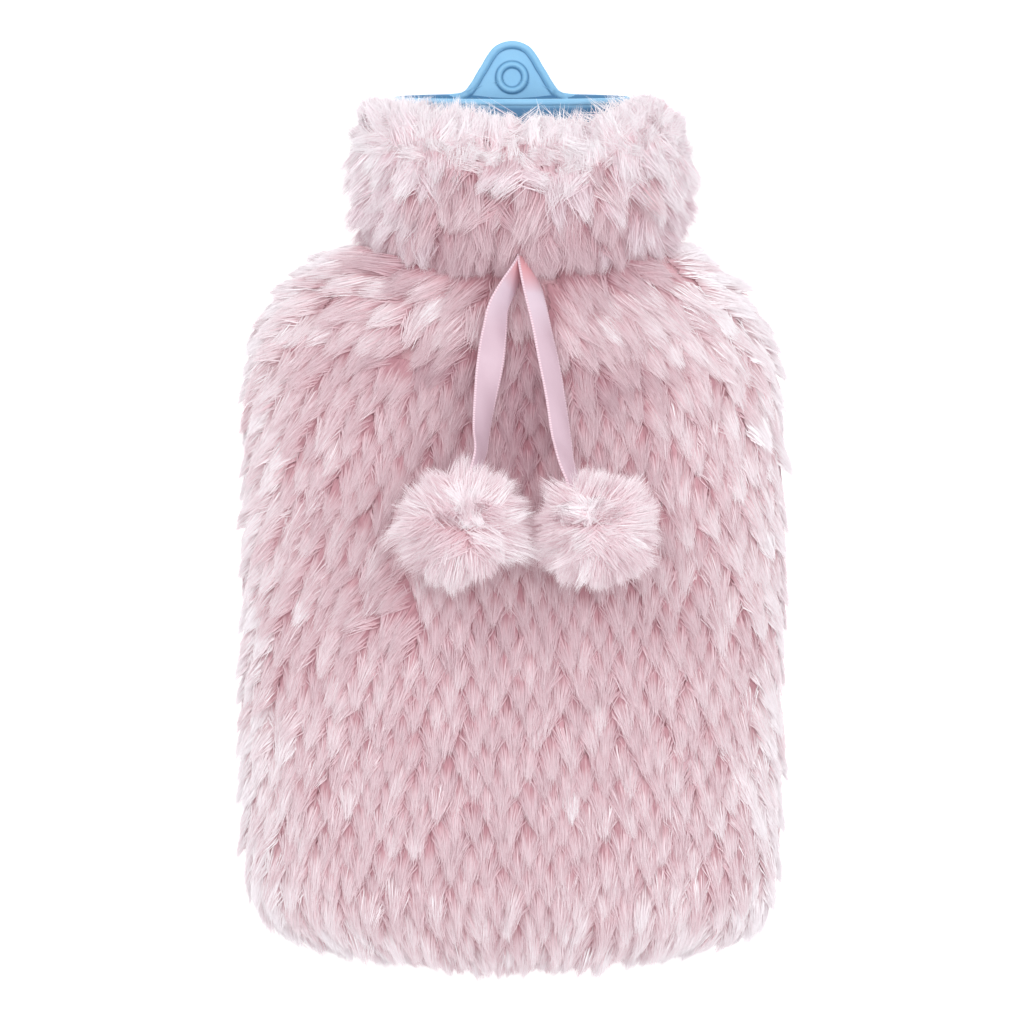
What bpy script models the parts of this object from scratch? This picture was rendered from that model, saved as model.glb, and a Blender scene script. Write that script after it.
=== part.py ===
"""Hot water bottle in a long-pile cover, lying on its back.

Metres. +X is to the right, +Y towards the hanging tab, +Z up, out of the cover's face.
The origin is on the surface that it lies on, under the middle of the pouch.
"""

import bpy
import bmesh
import numpy as np
from mathutils import Matrix, Vector
from mathutils.geometry import delaunay_2d_cdt

# ---- driving sizes --------------------------------------------------------------------
GAP = 0.0003             # air between neighbouring pieces
SEAM_Z = 0.0300          # height of the side seam and of the bottle's middle plane
FRONT_RISE = 0.0360      # seam to the crown of the front pile
BACK_DROP = 0.0350       # seam to the back pile, before the surface presses it flat
RIM_RISE = 0.0045        # half thickness of the pouch at its seam
CAVITY_AIR = 0.0010      # slack between the bottle and the cloth on its flat faces
CAVITY_SIDE = 0.0045     # slack round the bottle's edge
FLAT_CUT = 0.0           # the surface itself

# tufts of the pile: columns and rows across one panel, and how far their tips stand out
FRONT_TUFTS = (24, 22)
BACK_TUFTS = (13, 12)
TIP_RISE = 0.0032
GAP_DROP = 0.0016
TIP_REACH = 0.0030       # how far a tip lies down the nap from its row
NECK_FADE = 3            # rows next to the neck over which the tufts grow to full size
RIM_LOCK = (0.0036, 0.0052)   # a rim lock's reach out of the rim and down the nap

# rim of the pouch at the roots of its locks: height up the pouch, left side, right side
OUTLINE = (
    (0.1050, -0.0600, 0.0660),
    (0.0975, -0.0760, 0.0765),
    (0.0850, -0.0905, 0.0900),
    (0.0640, -0.1025, 0.1030),
    (0.0300, -0.1050, 0.1065),
    (-0.0500, -0.1060, 0.1075),
    (-0.1200, -0.1060, 0.1065),
    (-0.1500, -0.1045, 0.1035),
    (-0.1640, -0.0960, 0.0980),
    (-0.1710, -0.0820, 0.0860),
    (-0.1745, -0.0640, 0.0680),
)

# middle line of the pouch from neck to bottom: height up the pouch, share of the rise
CROWN = (
    (0.0955, 0.78),
    (0.0800, 0.86),
    (0.0500, 0.97),
    (0.0100, 1.00),
    (-0.0900, 1.00),
    (-0.1400, 0.95),
    (-0.1640, 0.80),
    (-0.1765, 0.52),
    (-0.1800, 0.125),
)

# where the collar's hem lies on the pouch: y = HEM_Y + HEM_ARCH * (x / HEM_SPAN) ** 2
HEM_Y = 0.0955
HEM_ARCH = 0.0095
HEM_SPAN = 0.0630

# collar, from hem to top edge: share of its height, half width, half depth,
# rise of its tips, rise of the notches between them, which columns carry the tips
COLLAR_X = 0.0030
COLLAR_TOP = 0.1530      # top edge at the middle; its ends stand COLLAR_LIFT higher
COLLAR_LIFT = 0.0095
COLLAR_ROWS = (
    (0.00, 0.0570, 0.0290, 0.0, 0.0, 0),
    (0.03, 0.0625, 0.0330, 0.0030, -0.0005, 0),
    (0.20, 0.0645, 0.0350, -0.0012, -0.0012, 0),
    (0.24, 0.0650, 0.0355, 0.0032, -0.0006, 1),
    (0.40, 0.0655, 0.0362, -0.0012, -0.0012, 0),
    (0.44, 0.0655, 0.0364, 0.0032, -0.0006, 0),
    (0.57, 0.0650, 0.0360, -0.0012, -0.0012, 0),
    (0.61, 0.0645, 0.0355, 0.0028, -0.0006, 1),
    (0.70, 0.0625, 0.0338, -0.0016, -0.0016, 0),
    (0.79, 0.0635, 0.0336, 0.0020, -0.0004, 0),
    (0.87, 0.0630, 0.0322, -0.0010, -0.0010, 0),
    (0.91, 0.0620, 0.0312, 0.0026, -0.0002, 1),
    (1.00, 0.0565, 0.0262, 0.0016, -0.0004, 0),
)
COLLAR_TUFTS = 34        # tufts round the collar
COLLAR_LOCK = 0.0060     # how far the locks at its top edge stand up
COLLAR_INSIDE = (1.00, 0.88, 0.74, 0.60, 0.45, 0.30, 0.15, 0.00)
COLLAR_AIR = 0.0019      # slack between the funnel and the collar

# bottle: height, half width, half depth; outside up to the lip, then down inside the funnel
BOTTLE_X = 0.0
BOTTLE_MIDDLE = -0.0500
BOTTLE = (
    (-0.1685, 0.0540, 0.0030),
    (-0.1660, 0.0700, 0.0090),
    (-0.1575, 0.0870, 0.0150),
    (-0.1350, 0.0955, 0.0198),
    (-0.0900, 0.0970, 0.0215),
    (0.0000, 0.0970, 0.0215),
    (0.0350, 0.0950, 0.0212),
    (0.0580, 0.0860, 0.0202),
    (0.0740, 0.0670, 0.0190),
    (0.0860, 0.0460, 0.0176),
    (0.0960, 0.0340, 0.0158),
    (0.1050, 0.0295, 0.0145),
    (0.1160, 0.0285, 0.0138),
    (0.1280, 0.0315, 0.0136),
    (0.1400, 0.0370, 0.0138),
    (0.1510, 0.0425, 0.0142),
    (0.1575, 0.0458, 0.0146),
    (0.1605, 0.0468, 0.0150),
    (0.1620, 0.0455, 0.0140),
)
FUNNEL = (
    (0.1615, 0.0435, 0.0118),
    (0.1570, 0.0415, 0.0108),
    (0.1480, 0.0365, 0.0102),
    (0.1380, 0.0305, 0.0098),
    (0.1300, 0.0255, 0.0094),
    (0.1270, 0.0215, 0.0080),
)
LIP_LIFT = 0.0026        # how much higher the back of the lip stands than its front
LIP_FROM = 0.1450        # height where that lift begins
BOTTLE_SIDES = 40

# hanging tab, seen from its ring: height, half width of its outline
TAB_RING_Y = 0.1716
TAB_OUTLINE = (
    (0.1862, 0.0000),
    (0.1856, 0.0030),
    (0.1832, 0.0062),
    (0.1800, 0.0085),
    (0.1760, 0.0110),
    (0.1700, 0.0148),
    (0.1668, 0.0172),
    (0.1646, 0.0225),
    (0.1615, 0.0230),
    (0.1585, 0.0215),
    (0.1575, 0.0000),
)
TAB_THICK = 0.0032
TAB_RELIEF = 0.0011      # height of its bead and its ring above its face
TAB_BEAD = (0.0003, 0.0009, 0.0021, 0.0029)        # distances in from the outline
TAB_RING = (0.0064, 0.0058, 0.0046, 0.0040)        # radii of the ring's slopes
TAB_SIDES = 48

# ribbon: each tail's middle line from the collar to the pompom, with its half width there
# and the turn of its width out of level, in degrees
RIBBON_THICK = 0.0010
LEFT_TAIL = (
    (-0.0012, 0.0950, 0.0608, 0.0022, 0),
    (-0.0024, 0.0900, 0.0645, 0.0030, -20),
    (-0.0050, 0.0790, 0.0683, 0.0045, -20),
    (-0.0082, 0.0600, 0.0706, 0.0056, -12),
    (-0.0106, 0.0440, 0.0722, 0.0056, -5),
    (-0.0122, 0.0300, 0.0762, 0.0040, 0),
    (-0.0133, 0.0200, 0.0822, 0.0026, 0),
)
RIGHT_TAIL = (
    (0.0012, 0.0950, 0.0608, 0.0022, 0),
    (0.0052, 0.0880, 0.0650, 0.0030, 20),
    (0.0092, 0.0740, 0.0688, 0.0040, 20),
    (0.0142, 0.0560, 0.0708, 0.0044, 12),
    (0.0178, 0.0400, 0.0722, 0.0040, 5),
    (0.0212, 0.0260, 0.0765, 0.0032, 0),
    (0.0238, 0.0170, 0.0820, 0.0026, 0),
)
TAIL_SEWN = 0.0024       # half width of a tail where it is sewn to its pompom
TAIL_STEPS = 22

# pompoms: centre, core radius, reach of the locks
PILE_TOP = 0.0682        # crown of the pile that the pompoms and the tails lie on
CORE = 0.0170
POMPOMS = {
    "pompom_left": (-0.0178, -0.0064, 0.0882, 0.0295),
    "pompom_right": (0.0338, -0.0096, 0.0882, 0.0262),
}
POMPOM_SPLIT = 0.0102    # the plane x where the two pompoms meet
POMPOM_TURN = {"pompom_left": 0.5, "pompom_right": 1.3}
LOCK_INSET = 0.0008      # how far a lock's root lies inside its face of the core
TAIL_CLEAR = 0.80        # no lock grows nearer to a tail than this cosine
CORE_FLAT = 0.965        # how far a flat face of the core lies from its centre, in core radii

COLOURS = {
    "fur": ((0.73, 0.53, 0.58), 0.90),
    "fur_shade": ((0.66, 0.45, 0.50), 0.92),
    "pompom": ((0.80, 0.63, 0.68), 0.90),
    "satin": ((0.75, 0.58, 0.66), 0.35),
    "rubber": ((0.20, 0.43, 0.68), 0.45),
}


# ---- scene, materials and meshes ------------------------------------------------------
def clear_scene():
    for obj in list(bpy.data.objects):
        bpy.data.objects.remove(obj)


def new_collection(name):
    collection = bpy.data.collections.new(name)
    bpy.context.scene.collection.children.link(collection)
    return collection


def material(name):
    """A Principled material of one colour and roughness."""
    colour, roughness = COLOURS[name]
    made = bpy.data.materials.new(name)
    made.use_nodes = True
    shader = made.node_tree.nodes["Principled BSDF"]
    shader.inputs["Base Color"].default_value = (*colour, 1.0)
    shader.inputs["Roughness"].default_value = roughness
    shader.inputs["Metallic"].default_value = 0.0
    return made


def mesh_object(name, verts, faces, collection, finish):
    """One closed mesh object whose faces all point outwards."""
    mesh = bpy.data.meshes.new(name)
    mesh.from_pydata([tuple(map(float, v)) for v in verts], [], faces)
    mesh.update()
    made = bpy.data.objects.new(name, mesh)
    collection.objects.link(made)
    mesh.materials.append(finish)
    face_outwards(mesh)
    return made


def face_outwards(mesh):
    work = bmesh.new()
    work.from_mesh(mesh)
    bmesh.ops.recalc_face_normals(work, faces=work.faces)
    if work.calc_volume(signed=True) < 0:
        bmesh.ops.reverse_faces(work, faces=work.faces)
    bmesh.ops.triangulate(work, faces=work.faces)
    work.to_mesh(mesh)
    work.free()


# ---- curves and surfaces --------------------------------------------------------------
def along(rows, shares):
    """Points on a smooth curve through the rows of a table, at shares of its length.

    A Catmull-Rom spline through the rows, sampled finely, then read at even lengths.
    """
    rows = np.asarray(rows, float)
    ends = np.vstack([2 * rows[0] - rows[1], rows, 2 * rows[-1] - rows[-2]])
    fine = np.linspace(0, len(rows) - 1, 40 * len(rows))
    first = np.minimum(fine.astype(int), len(rows) - 2)
    u = (fine - first)[:, None]
    a, b, c, d = (ends[first + k] for k in range(4))
    curve = 0.5 * (2 * b + (c - a) * u + (2 * a - 5 * b + 4 * c - d) * u**2
                   + (3 * b - a - 3 * c + d) * u**3)
    steps = np.linalg.norm(np.diff(curve, axis=0), axis=1)
    length = np.concatenate([[0], np.cumsum(steps)])
    return np.stack([np.interp(shares * length[-1], length, column) for column in curve.T], 1)


def hem_y(x):
    """Height of the line where the collar lies on the pouch."""
    return HEM_Y + HEM_ARCH * (x / HEM_SPAN) ** 2


def half_section(width, depth, shares):
    """One side of a pouch section, from its crown to its rim: x and rise, evenly spaced."""
    turn = np.linspace(0, np.pi / 2, 160)
    x = width * np.sin(turn) ** 0.78
    rise = RIM_RISE + (depth - RIM_RISE) * np.cos(turn) ** 0.92
    rise[-1] = RIM_RISE
    length = np.concatenate([[0], np.cumsum(np.hypot(np.diff(x), np.diff(rise)))])
    return np.interp(shares * length[-1], length, x), np.interp(shares * length[-1], length, rise)


def pouch_surface(columns, rows, rise):
    """Smooth half of the pouch as a grid of rows from neck to bottom, z above the seam."""
    down = np.linspace(0, 1, 2 * rows + 1)
    across = np.linspace(-1, 1, 2 * columns + 1)
    middle = along(np.array(CROWN) * (1, rise), down)
    sides = along(OUTLINE, down)
    grid = np.zeros((len(down), len(across), 3))
    for row, (crown, side) in enumerate(zip(middle, sides)):
        depth = max(crown[1], RIM_RISE)
        left = half_section(-side[1], depth, -across[across < 0])
        right = half_section(side[2], depth, across[across >= 0])
        x = np.concatenate([-left[0], right[0]])
        reach = np.abs(x) / np.where(x < 0, -side[1], side[2])
        grid[row, :, 0] = x
        grid[row, :, 1] = crown[0] + (side[0] - crown[0]) * reach ** 2.4
        grid[row, :, 2] = np.concatenate([left[1], right[1]])
    grid[0, :, 1] = hem_y(grid[0, :, 0]) - GAP / 2
    return grid


def grid_normals(grid):
    normal = np.cross(np.gradient(grid, axis=1), np.gradient(grid, axis=0))
    normal *= np.sign(normal[..., 2:3].mean() or 1)
    return normal / np.linalg.norm(normal, axis=2, keepdims=True)


def unevenness(x, y):
    """A number from -1 to 1 that changes from tuft to tuft, with no pattern to see."""
    return np.sin(x * 913.0 + 1.7 * np.sin(y * 517.0)) * np.cos(y * 731.0 + 2.1 * np.sin(x * 389.0))


def raise_tufts(grid, size):
    """Staggered tufts: the odd rows are crests of tips and notches, the even rows their feet.

    A tip stands out along the surface's normal and down the nap; each second tip is half
    a tuft further along, and the outermost rows and columns stay where they are.
    """
    normal = grid_normals(grid)
    nap = np.gradient(grid, axis=0)
    nap /= np.linalg.norm(nap, axis=2, keepdims=True)
    row, column = np.indices(grid.shape[:2])
    crest = row % 2 == 1
    tip = crest & ((column + (row + 1) // 2) % 2 == 0)
    notch = crest & ~tip
    some = 1 + 0.30 * unevenness(grid[..., 0], grid[..., 1])
    border = (row == grid.shape[0] - 1) | (column == 0) | (column == grid.shape[1] - 1)
    fade = np.where(border, 0, np.clip(row / NECK_FADE, 0, 1))
    out = (tip * TIP_RISE * some - notch * 0.2 * GAP_DROP - (~crest) * GAP_DROP) * fade * size
    slide = (tip * 0.7 - notch * 0.9 - (~crest) * 1.25) * TIP_REACH * fade * size
    return grid + normal * out[..., None] + nap * slide[..., None]


def bottle_half_depth(x, y):
    """The bottle's half depth above a point, widened by the slack round its edge."""
    table = np.array(BOTTLE)
    inward = y + CAVITY_SIDE * np.sign(BOTTLE_MIDDLE - y)
    width = np.interp(inward, table[:, 0], table[:, 1]) + CAVITY_SIDE
    depth = np.interp(inward, table[:, 0], table[:, 2]) + CAVITY_AIR
    inside = np.clip(1 - (np.abs(x - BOTTLE_X) / width) ** 2.2, 0, 1) ** (1 / 2.2)
    return np.where(y < BOTTLE[0][0] - CAVITY_AIR, 0, depth * inside)


def loop_of(grid_shape):
    """The grid's border as vertex numbers, once round."""
    rows, columns = grid_shape
    top = [(0, c) for c in range(columns)]
    right = [(r, columns - 1) for r in range(1, rows)]
    bottom = [(rows - 1, c) for c in range(columns - 2, -1, -1)]
    left = [(r, 0) for r in range(rows - 2, 0, -1)]
    return [r * columns + c for r, c in top + right + bottom + left]


def quads(rows, columns):
    return [(r * columns + c, r * columns + c + 1, (r + 1) * columns + c + 1, (r + 1) * columns + c)
            for r in range(rows - 1) for c in range(columns - 1)]


def panel(name, tufts, rise, side, collection, finish):
    """One panel of the pouch: tufted outside, a hollow that fits the bottle inside.

    side is 1 for the front and -1 for the back. The inside is a flat net of triangles
    between the rim and a lattice of points, lifted to the bottle's form.
    """
    smooth = pouch_surface(*tufts, rise)
    outer = raise_tufts(smooth, 1.0 if side > 0 else 1.25)
    rim = loop_of(outer.shape[:2])
    outer = outer.reshape(-1, 3)
    edge = [Vector(outer[v][:2]) for v in rim]
    step = 0.0120
    lattice = [Vector((x, y)) for y in np.arange(-0.168, 0.092, step) for x in np.arange(-0.098, 0.099, step)
               if inside_rim(smooth, x, y, 0.006)]
    links = [(k, (k + 1) % len(rim)) for k in range(len(rim))]
    flat, _, cells, *_ = delaunay_2d_cdt(edge + lattice, links, [], 1, 1e-7)
    inner = np.array([(p.x, p.y, 0.0) for p in flat])
    inner[:, 2] = np.maximum(bottle_half_depth(inner[:, 0], inner[:, 1]), GAP / 2)
    verts = np.vstack([outer, inner])
    verts[:, 2] = np.maximum(SEAM_Z + side * verts[:, 2], FLAT_CUT)
    start = len(outer)
    faces = quads(2 * tufts[1] + 1, 2 * tufts[0] + 1)
    faces += [tuple(start + v for v in cell) for cell in cells]
    wall = [(rim[k], rim[n], start + n, start + k) for k, n in links]
    neck = 2 * tufts[0]
    verts, faces = add_rim(verts, faces, wall, neck, side)
    return mesh_object(name, verts, faces, collection, finish)


def inside_rim(grid, x, y, margin):
    """True where a point lies inside the pouch's outline by a margin."""
    ends = grid[:, [0, -1], :2]
    order = np.argsort(ends[:, 0, 1])
    left = np.interp(y, ends[order, 0, 1], ends[order, 0, 0])
    right = np.interp(y, ends[order, 1, 1], ends[order, 1, 0])
    bottom = np.interp(x, grid[-1, :, 0], grid[-1, :, 1])
    return left + margin < x < right - margin and bottom + margin < y < hem_y(x) - margin


def add_rim(verts, faces, wall, neck, side):
    """Closes the rim's wall; on the front every second stretch grows a pointed lock."""
    verts = list(verts)
    for number, face in enumerate(wall):
        if side < 0 or number < neck or number % 2:
            faces.append(face)
            continue
        corners = np.array([verts[v] for v in face])
        run = corners[1] - corners[0]
        out = np.array((run[1], -run[0], 0.0)) / np.hypot(run[0], run[1])
        out *= -1 if out @ (corners.mean(0) - (0, -0.04, corners[0][2])) < 0 else 1
        apex = corners.mean(0) + out * RIM_LOCK[0] + np.array((0, -RIM_LOCK[1], 0))
        verts.append(apex)
        tip = len(verts) - 1
        faces += [(face[k], face[(k + 1) % 4], tip) for k in range(4)]
    return np.array(verts), faces


# ---- the collar -----------------------------------------------------------------------
def around(turn, width, depth, power):
    """A superellipse with x to the right and z up, at angles from +X."""
    x = width * np.sign(np.cos(turn)) * np.abs(np.cos(turn)) ** (2 / power)
    z = depth * np.sign(np.sin(turn)) * np.abs(np.sin(turn)) ** (2 / power)
    return x, z


def collar(collection, finish):
    """A fat ring round the funnel: rows of tips from hem to top edge, then its inside."""
    count = 2 * COLLAR_TUFTS
    turn = np.arange(count) * 2 * np.pi / count
    column = np.arange(count)
    rings = []
    for share, width, depth, tip_out, notch_out, odd in COLLAR_ROWS:
        x, z = around(turn, width, depth, 2.35)
        some = 1 + 0.25 * unevenness(x + share, z - share)
        out = np.where((column + odd) % 2 == 0, tip_out * some, notch_out)
        reach = np.hypot(x / width**2, z / depth**2)
        x, z = x + out * x / width**2 / reach, z + out * z / depth**2 / reach
        slide = np.where((column + odd) % 2 == 0, 1.0, -1.0) * (tip_out > 0) * 0.0022
        slide *= -1 if share < 0.70 else 1
        slide *= 0 if share < 0.10 else 1
        rings.append(collar_ring(x + COLLAR_X, z, share, slide))
    table = np.array(BOTTLE)
    for share in COLLAR_INSIDE:
        x, z = around(turn, 0.045 * max(share, 0.7), 0.014, 2.2)
        y = collar_ring(x, z, share, 0)[:, 1]
        width = np.interp(y, table[:, 0], table[:, 1]) + COLLAR_AIR
        depth = np.interp(y, table[:, 0], table[:, 2]) + COLLAR_AIR
        x, z = around(turn, width, depth, 2.2)
        rings.append(collar_ring(x + BOTTLE_X, z, share, 0))
    verts = np.vstack(rings)
    verts[:, 2] = np.maximum(verts[:, 2], FLAT_CUT)
    total = len(rings)
    faces = []
    verts = list(verts)
    for row in range(total):
        for step in range(count):
            near, far = row * count, (row + 1) % total * count
            nxt = (step + 1) % count
            face = (near + step, near + nxt, far + nxt, far + step)
            if row == len(COLLAR_ROWS) - 1 and step % 2 == 0:
                apex = np.mean([verts[v] for v in face], axis=0)
                apex[1] += COLLAR_LOCK * (1 + 0.3 * np.sin(step * 2.4))
                verts.append(apex)
                faces += [(face[k], face[(k + 1) % 4], len(verts) - 1) for k in range(4)]
            else:
                faces.append(face)
    return mesh_object("collar", verts, faces, collection, finish)


def collar_ring(x, z, share, slide):
    """Places one ring: its height runs from the hem line to the top edge."""
    low = hem_y(x) + GAP / 2
    high = COLLAR_TOP + COLLAR_LIFT * np.clip(np.abs(x) / 0.055, 0, 1) ** 2
    y = low + share * (high - low) + slide
    return np.stack([x, y, SEAM_Z + z], 1)


# ---- the bottle -----------------------------------------------------------------------
def bottle(collection, cutters, finish):
    """Pillow, neck and flared funnel in one skin, joined to the hanging tab."""
    turn = np.arange(BOTTLE_SIDES) * 2 * np.pi / BOTTLE_SIDES
    rings = []
    for y, width, depth in BOTTLE + FUNNEL:
        x, z = around(turn, width, depth, 2.2)
        lift = LIP_LIFT * np.clip((y - LIP_FROM) / (0.1620 - LIP_FROM), 0, 1) * (0.5 - z / depth / 2)
        rings.append(np.stack([x + BOTTLE_X, y + lift, SEAM_Z + z], 1))
    verts = np.vstack(rings)
    faces = []
    for row in range(len(rings) - 1):
        for step in range(BOTTLE_SIDES):
            nxt = (step + 1) % BOTTLE_SIDES
            near = row * BOTTLE_SIDES
            faces.append((near + step, near + nxt, near + BOTTLE_SIDES + nxt, near + BOTTLE_SIDES + step))
    faces.append(tuple(range(BOTTLE_SIDES)))
    faces.append(tuple(range(len(verts) - BOTTLE_SIDES, len(verts))))
    made = mesh_object("bottle", verts, faces, collection, finish)
    join = made.modifiers.new("tab", "BOOLEAN")
    join.operation = "UNION"
    join.solver = "EXACT"
    join.object = tab(cutters)
    return made


def tab(collection):
    """The hanging tab: rings of points from its outline in to the middle of its ring.

    Its face carries a bead along the outline and a round raised ring.
    """
    side = np.array(TAB_OUTLINE)
    mirrored = side[-2:0:-1] * (1, -1)
    closed = np.vstack([side, mirrored])[:, ::-1]
    centre = np.array((0.0, TAB_RING_Y))
    angle = np.unwrap(np.arctan2(*(closed - centre).T[::-1]))
    distance = np.linalg.norm(closed - centre, axis=1)
    order = np.argsort(angle)
    turn = angle[order][0] + np.arange(TAB_SIDES) * 2 * np.pi / TAB_SIDES
    reach = np.interp(turn, angle[order], distance[order], period=2 * np.pi)
    ray = np.stack([np.cos(turn), np.sin(turn)], 1)
    back = SEAM_Z - 0.0150
    face = back + TAB_THICK
    high = face + TAB_RELIEF
    sizes = [(reach, face - 0.0002), (reach - TAB_BEAD[1], high), (reach - TAB_BEAD[2], high),
             (reach - TAB_BEAD[3], face)]
    sizes += [(np.full(TAB_SIDES, radius), z) for radius, z in zip(TAB_RING, (face, high, high, face))]
    sizes.insert(0, (reach, back))
    verts = [np.column_stack([centre + ray * radius[:, None], np.full(TAB_SIDES, z)])
             for radius, z in sizes]
    faces = []
    for row in range(len(sizes) - 1):
        for step in range(TAB_SIDES):
            nxt = (step + 1) % TAB_SIDES
            near = row * TAB_SIDES
            faces.append((near + step, near + nxt, near + TAB_SIDES + nxt, near + TAB_SIDES + step))
    faces.append(tuple(range(TAB_SIDES)))
    faces.append(tuple(range((len(sizes) - 1) * TAB_SIDES, len(sizes) * TAB_SIDES)))
    made = mesh_object("tab", np.vstack(verts), faces, collection, None)
    made.hide_render = True
    made.display_type = "WIRE"
    return made


# ---- the ribbon and the pompoms -------------------------------------------------------
def sewn_end(table, name):
    """Where a tail meets its pompom's core, a gap's width off it."""
    centre = np.array(POMPOMS[name][:3])
    way = np.array(table[-1][:3]) - centre
    return centre + way / np.linalg.norm(way) * (CORE * CORE_FLAT + GAP)


def tail_sections(table, name):
    """Four corners of the ribbon at even steps along one tail."""
    whole = (*table, (*sewn_end(table, name), TAIL_SEWN, 0))
    points = along(whole, np.linspace(0, 1, TAIL_STEPS))
    middle = points[:, :3]
    run = np.gradient(middle, axis=0)
    run /= np.linalg.norm(run, axis=1, keepdims=True)
    tilt = np.radians(points[:, 4:5])
    level = np.cross(run, (0, 0, 1))
    level /= np.linalg.norm(level, axis=1, keepdims=True)
    up = np.cross(level, run)
    wide = (level * np.cos(tilt) + up * np.sin(tilt)) * points[:, 3:4]
    thick = (up * np.cos(tilt) - level * np.sin(tilt)) * RIBBON_THICK / 2
    return np.stack([middle - wide - thick, middle + wide - thick,
                     middle + wide + thick, middle - wide + thick], 1)


def ribbon(collection, cutters, finish):
    """Both tails, joined where they leave the collar."""
    made = []
    sides = (("ribbon", LEFT_TAIL, "pompom_left", collection),
             ("ribbon_right", RIGHT_TAIL, "pompom_right", cutters))
    for name, table, pompom_name, home in sides:
        corners = tail_sections(table, pompom_name)
        faces = [(4 * r + k, 4 * r + (k + 1) % 4, 4 * r + 4 + (k + 1) % 4, 4 * r + 4 + k)
                 for r in range(len(corners) - 1) for k in range(4)]
        faces += [(0, 1, 2, 3), tuple(range(4 * len(corners) - 4, 4 * len(corners)))]
        made.append(mesh_object(name, corners.reshape(-1, 3), faces, home, finish))
    join = made[0].modifiers.new("right_tail", "BOOLEAN")
    join.operation = "UNION"
    join.solver = "EXACT"
    join.object = made[1]
    made[1].hide_render = True
    made[1].display_type = "WIRE"
    return made[0]


def pompom(name, tail_end, collection, finish):
    """A round core with a pointed lock on each face; locks are short where something is near."""
    *centre, reach = POMPOMS[name]
    centre = Vector(centre)
    work = bmesh.new()
    bmesh.ops.create_icosphere(work, subdivisions=2, radius=CORE)
    bmesh.ops.rotate(work, verts=work.verts, matrix=turn_of(name))
    tail = (Vector(tail_end) - centre).normalized()
    faces = [f for f in work.faces if f.calc_center_median().normalized().dot(tail) < TAIL_CLEAR]
    bmesh.ops.inset_individual(work, faces=faces, thickness=LOCK_INSET)
    poked = bmesh.ops.poke(work, faces=faces)
    for number, tip in enumerate(poked["verts"]):
        way = tip.co.normalized()
        length = reach * (1 + 0.07 * np.sin(number * 2.4))
        toward_split = (POMPOM_SPLIT - centre.x) * np.sign(POMPOM_SPLIT - centre.x) - GAP / 2
        leaning = way.x * np.sign(POMPOM_SPLIT - centre.x)
        if leaning > 0.02:
            length = min(length, toward_split / leaning)
        if way.z < -0.02:
            length = min(length, (centre.z - PILE_TOP - GAP) / -way.z)
        tip.co = way * max(length, CORE * 1.02)
    for corner in work.verts:
        corner.co += centre
    mesh = bpy.data.meshes.new(name)
    work.to_mesh(mesh)
    work.free()
    mesh.materials.append(finish)
    made = bpy.data.objects.new(name, mesh)
    collection.objects.link(made)
    face_outwards(mesh)
    return made


def turn_of(name):
    """Each pompom is turned its own way, so that the two don't look alike."""
    return Matrix.Rotation(POMPOM_TURN[name], 3, Vector((0.4, 0.3, 0.86)))


def main():
    clear_scene()
    parts = new_collection("hot_water_bottle_cover")
    cutters = new_collection("cutters")
    cutters.hide_render = True
    fur, shade = material("fur"), material("fur_shade")
    panel("front_panel", FRONT_TUFTS, FRONT_RISE, 1, parts, fur)
    panel("back_panel", BACK_TUFTS, BACK_DROP, -1, parts, shade)
    collar(parts, fur)
    bottle(parts, cutters, material("rubber"))
    ribbon(parts, cutters, material("satin"))
    pile = material("pompom")
    pompom("pompom_left", LEFT_TAIL[-1][:3], parts, pile)
    pompom("pompom_right", RIGHT_TAIL[-1][:3], parts, pile)


main()
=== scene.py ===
"""The looks of a hot water bottle in its faux fur cover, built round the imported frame.

Metres, +Z up. The bottle lies on its back and its hanging tab points to +Y.
"""

import bpy
import numpy as np
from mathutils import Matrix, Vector

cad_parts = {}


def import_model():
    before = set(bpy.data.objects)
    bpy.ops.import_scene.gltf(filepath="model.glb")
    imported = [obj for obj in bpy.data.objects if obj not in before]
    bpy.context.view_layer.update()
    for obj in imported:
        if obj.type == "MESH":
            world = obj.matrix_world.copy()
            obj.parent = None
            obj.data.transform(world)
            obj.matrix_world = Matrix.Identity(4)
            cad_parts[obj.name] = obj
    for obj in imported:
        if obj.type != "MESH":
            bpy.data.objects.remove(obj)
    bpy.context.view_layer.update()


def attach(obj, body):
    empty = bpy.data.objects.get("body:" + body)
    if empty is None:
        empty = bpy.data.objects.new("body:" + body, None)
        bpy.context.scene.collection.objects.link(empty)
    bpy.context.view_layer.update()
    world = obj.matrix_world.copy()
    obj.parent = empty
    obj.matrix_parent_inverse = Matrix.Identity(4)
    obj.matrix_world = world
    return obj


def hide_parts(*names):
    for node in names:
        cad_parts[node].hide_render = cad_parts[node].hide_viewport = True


def mm(*rows):
    """A table in metres from its rows in millimetres."""
    return np.array(rows) / 1000


# ---- the shapes of the solids, which the pieces follow ----
SEAM_Z = 0.0300          # height of the pouch's side seam and of the bottle's middle plane
FRONT_RISE = 0.0360      # seam to the crown of the front pile
BACK_DROP = 0.0350       # seam to the back pile, before the surface presses it flat
RIM_RISE = 0.0008        # from the seam to each panel's pile at the rim
FLOOR_AIR = 0.0004       # no strand comes nearer to the surface that the part lies on

# height, left edge and right edge of the pouch
OUTLINE = mm(
    (105, -60, 66), (97.5, -76, 76.5), (85, -90.5, 90), (64, -102.5, 103),
    (30, -105, 106.5), (-50, -106, 107.5), (-120, -106, 106.5), (-150, -104.5, 103.5),
    (-164, -96, 98), (-171, -82, 86), (-174.5, -64, 68),
)
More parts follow.
